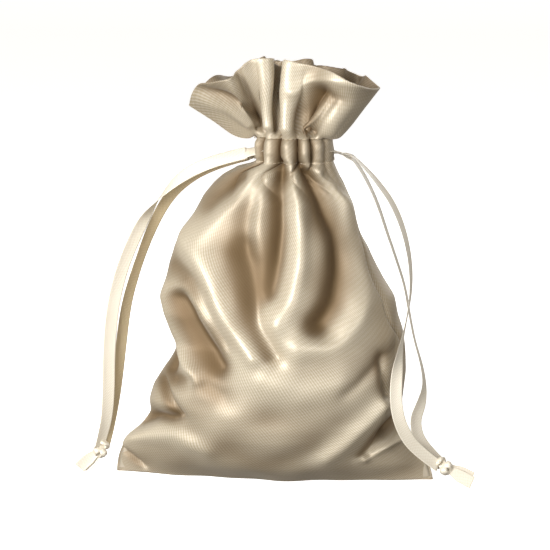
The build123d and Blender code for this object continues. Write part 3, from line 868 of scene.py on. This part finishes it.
# ---- Where the ribbons leave the casing ------------------------------------------------
# At each side slot the two ends of one ribbon come out of the channel together, still puckered
# from being drawn through it. They reach well into the channel, so pulling them opens no gap.
ENTRIES = {
    "left": {"front": [(6.0, -6.2, 156.6), (-0.5, -5.2, 156.3), (-5.8, -2.4, 155.6), (-10.0, -2.2, 154.9),
                       (-13.4, -2.0, 154.0)],
             "back": [(6.0, 6.2, 155.4), (-0.5, 5.2, 155.2), (-5.8, 2.4, 154.6), (-10.0, 2.2, 153.7),
                      (-13.4, 2.0, 152.8)],
             "turns": {"front": (90, 150), "back": (70, 22)}},
    "right": {"front": [(13.0, -6.2, 156.6), (19.5, -5.2, 156.4), (25.0, -2.6, 156.0), (31.0, -2.2, 155.4),
                        (37.2, -2.1, 153.3)],
              "back": [(13.0, 6.2, 155.4), (19.5, 5.2, 155.4), (25.0, 2.6, 155.0), (31.0, 2.2, 154.2),
                       (37.0, 2.0, 151.3)],
              "turns": {"front": (90, 76), "back": (80, 70)}},
}
for side, place in ENTRIES.items():
    made = []
    for level in ("front", "back"):
        line, length = spline_line(np.array(place[level]) * MM)
        line = line[::3]
        share = np.linspace(0, 1, len(line))
        begin, end = place["turns"][level]
        pucker = 9.0 * np.sin(share * 19.0) * np.exp(-((share - 0.72) / 0.2) ** 2)
        face_turn = begin + (end - begin) * share ** 2 + pucker
        piece = ribbon_piece(f"{side}_{level}_ribbon_entry", line, face_turn, RIBBON_WIDTH * 0.98,
                             ribbon_satin)
        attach(piece, f"{side}_drawstring_exit")
        made.append(piece)
    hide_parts(f"{side}_ribbon_entry")


# ---- The stitching ------------------------------------------------------------------------
# Polyester thread the colour of the satin. A lockstitch row runs round the casing's foot and
# another round its top, through both layers, and a bar tack closes each end of both slots.
thread = bpy.data.materials.new("polyester_thread")
thread.use_nodes = True
thread_shader = thread.node_tree.nodes["Principled BSDF"]
thread_shader.inputs["Base Color"].default_value = (0.50, 0.41, 0.28, 1)
thread_shader.inputs["Roughness"].default_value = 0.5
thread_shader.inputs["Sheen Weight"].default_value = 0.3


def stitch_row(name, path, length, gap, radius, around=8):
    """Short rounded stitches laid end to end along a path: each is a rod whose radius is the half
    circle root of 1 - (2u - 1) to the fourth, where u runs from 0 to 1 along it."""
    travelled = np.concatenate([[0], np.cumsum(np.linalg.norm(np.diff(path, axis=0), axis=1))])
    count = max(1, int((travelled[-1] + gap) / (length + gap)))
    starts = np.arange(count) * (length + gap)
    u = np.array([0.0, 0.08, 0.25, 0.5, 0.75, 0.92, 1.0])
    thick = radius * np.sqrt(np.clip(1 - (2 * u - 1) ** 4, 0.02, 1))
    angle = np.linspace(0, 2 * np.pi, around, endpoint=False)
    points, faces = [], []
    one = grid_faces(len(u), around, round_columns=True)
    caps = [list(range(around))[::-1], list(range((len(u) - 1) * around, len(u) * around))]
    for k, begin in enumerate(starts):
        at = begin + u * length
        middle = np.stack([np.interp(at, travelled, path[:, i]) for i in range(3)], axis=1)
        run = unit(middle[-1] - middle[0])
        side_way = unit(np.cross(run, [0.1, 0.2, 1.0]))
        other = np.cross(run, side_way)
        ring = (side_way * np.cos(angle)[:, None] + other * np.sin(angle)[:, None])
        points.append((middle[:, None, :] + ring[None, :, :] * thick[:, None, None]).reshape(-1, 3))
        base = k * len(u) * around
        faces += (one + base).tolist() + [[i + base for i in cap] for cap in caps]
    piece = mesh_piece(name, np.concatenate(points) * MM, faces, material=thread)
    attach(piece, "sack")
    return piece


THREAD_RADIUS = 0.16
for side, shape in panel_points.items():
    for level, height in (("lower", 150.4), ("upper", 161.7)):
        row = np.abs(shape[:, PANEL_COLUMNS // 2, 2] - height).argmin()
        stitch_row(f"{side}_casing_{level}_stitches", shape[row, 4:-4],
                                           2.2, 0.5, THREAD_RADIUS)
for level in ("lower", "upper"):
    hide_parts(f"casing_{level}_seam")
TACK_REACH, TACK_STEP, TACK_PASSES = 1.6, 0.22, np.arange(7)
for side, x in (("left", -8.7), ("right", 28.0)):
    for level, height in (("lower", 151.2), ("upper", 160.9)):
        to_and_fro = np.where(TACK_PASSES % 2 == 0, -TACK_REACH, TACK_REACH)
        zigzag = np.column_stack([x + 0 * to_and_fro, to_and_fro, height + TACK_STEP * TACK_PASSES])
        made = stitch_row(f"{side}_slot_{level}_tack", zigzag, 3.0, 0.2, 0.22)
        if level == "lower":
            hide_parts(f"{side}_slot_tacks")


# ---- The seams inside ----------------------------------------------------------------------
# The two raw edges of each side seam and of the bottom seam lie together inside the sack, 7 mm
# wide, with a lockstitch row where the panels join. Nothing of them shows from outside.
ALLOWANCE = 7.0


def allowance_shape(edge, inward, waver):
    """A strip of two layers, 0.7 mm thick, from a seam line inward: its cut edge wavers by a sine."""
    w = np.linspace(0.06, 1, 7)[None, :, None]
    run = np.linspace(0, 1, len(edge))[:, None, None]
    strip = edge[:, None, :] + inward[:, None, :] * w * (ALLOWANCE + 0.5 * np.sin(run * 31))
    across = unit(np.cross(np.gradient(edge, axis=0), inward))[:, None, :]
    strip = strip + across * waver * w ** 2 * np.sin(run * 23)
    return np.concatenate([strip - across * 0.35, (strip + across * 0.35)[:, ::-1]], axis=1)


def allowance_piece(name, strip, node):
    """A strip as a closed mesh of the sack's satin, with its painted fold shade at one level all over."""
    faces = grid_faces(*strip.shape[:2], round_columns=True)
    piece = mesh_piece(name, strip * MM, faces, material=sack_satin)
    set_painted_fold_shade(piece, np.full(strip.shape[:2], 0.6))
    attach(piece, "sack")
    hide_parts(node)


edge_shape = panel_points["front"]
high = (edge_shape[:, 0, 2] > 2.0) & (edge_shape[:, 0, 2] < 147.0)
for side, column, sign in (("left", 0, 1.0), ("right", -1, -1.0)):
    edge = edge_shape[high, column] + np.array([0.6 * sign, 0, 0])
    slope = unit(np.gradient(edge, axis=0))
    inward = np.stack([slope[:, 2], np.zeros(len(slope)), -slope[:, 0]], axis=1) * sign
    strip = allowance_shape(edge, inward, 0.8)
    allowance_piece(f"{side}_side_seam_allowance", strip, f"{side}_seam_allowance")
    row = stitch_row(f"{side}_side_seam_stitches", edge + inward * 0.9, 2.4, 0.4, THREAD_RADIUS)
    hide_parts(f"{side}_seam_stitches")
along = np.linspace(-72, 72, 90)
edge = np.stack([along, 0 * along, 0 * along + 0.9], axis=1)
inward = np.tile([0.0, 0.98, 0.2], (90, 1))
strip = allowance_shape(edge, inward, 0.1)
allowance_piece("bottom_edge_seam_allowance", strip, "bottom_seam_allowance")
row = stitch_row("bottom_edge_seam_stitches", edge + np.array([0.0, 0.8, 0.45]), 2.4, 0.4, THREAD_RADIUS)
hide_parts("bottom_seam_stitches")


# ---- The ribbons inside the casing ------------------------------------------------------------
# Each ribbon goes all the way round inside the channel and comes back out of its own slot. The
# two pass each other, one inside the other, bunched by the gathers.
CHANNEL_MIDDLE = 9.5
# half its run's width and depth, its height, and which way round it goes
CHANNEL_RUNS = {"left": (12.4, 8.0, 156.4, 1.0), "right": (11.4, 7.0, 155.6, -1.0)}
for side, (half_width, half_depth, level, way) in CHANNEL_RUNS.items():
    a = np.linspace(np.radians(16), np.radians(344), 221)
    ring = 1 + 0.035 * np.sin(9 * a)
    line = np.column_stack([CHANNEL_MIDDLE - way * half_width * ring * np.cos(a),
                            half_depth * ring * np.sin(a), level + 0.4 * np.sin(5 * a)]) * MM
    tangent = unit(np.gradient(line, axis=0))
    upright = np.array([0.0, 0.0, 1.0])
    out = unit(np.cross(tangent, upright))
    t = np.linspace(-1, 1, 9)
    over, lift = np.concatenate([t, t[::-1]]), np.concatenate([0 * t + 0.1, 0 * t - 0.1]) * MM
    points = line[:, None, :] + upright * (over * 2.8 * MM)[None, :, None] \
        + out[:, None, :] * lift[None, :, None]
    uv = np.stack(np.broadcast_arrays(over[None, :] * 3 * MM, a[:, None] * half_width * MM), axis=-1)
    piece = mesh_piece(f"{side}_casing_ribbon", points, grid_faces(*points.shape[:2], round_columns=True),
                       uv, ribbon_satin)
    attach(piece, "sack")
    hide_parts(f"{side}_ribbon_in_casing")
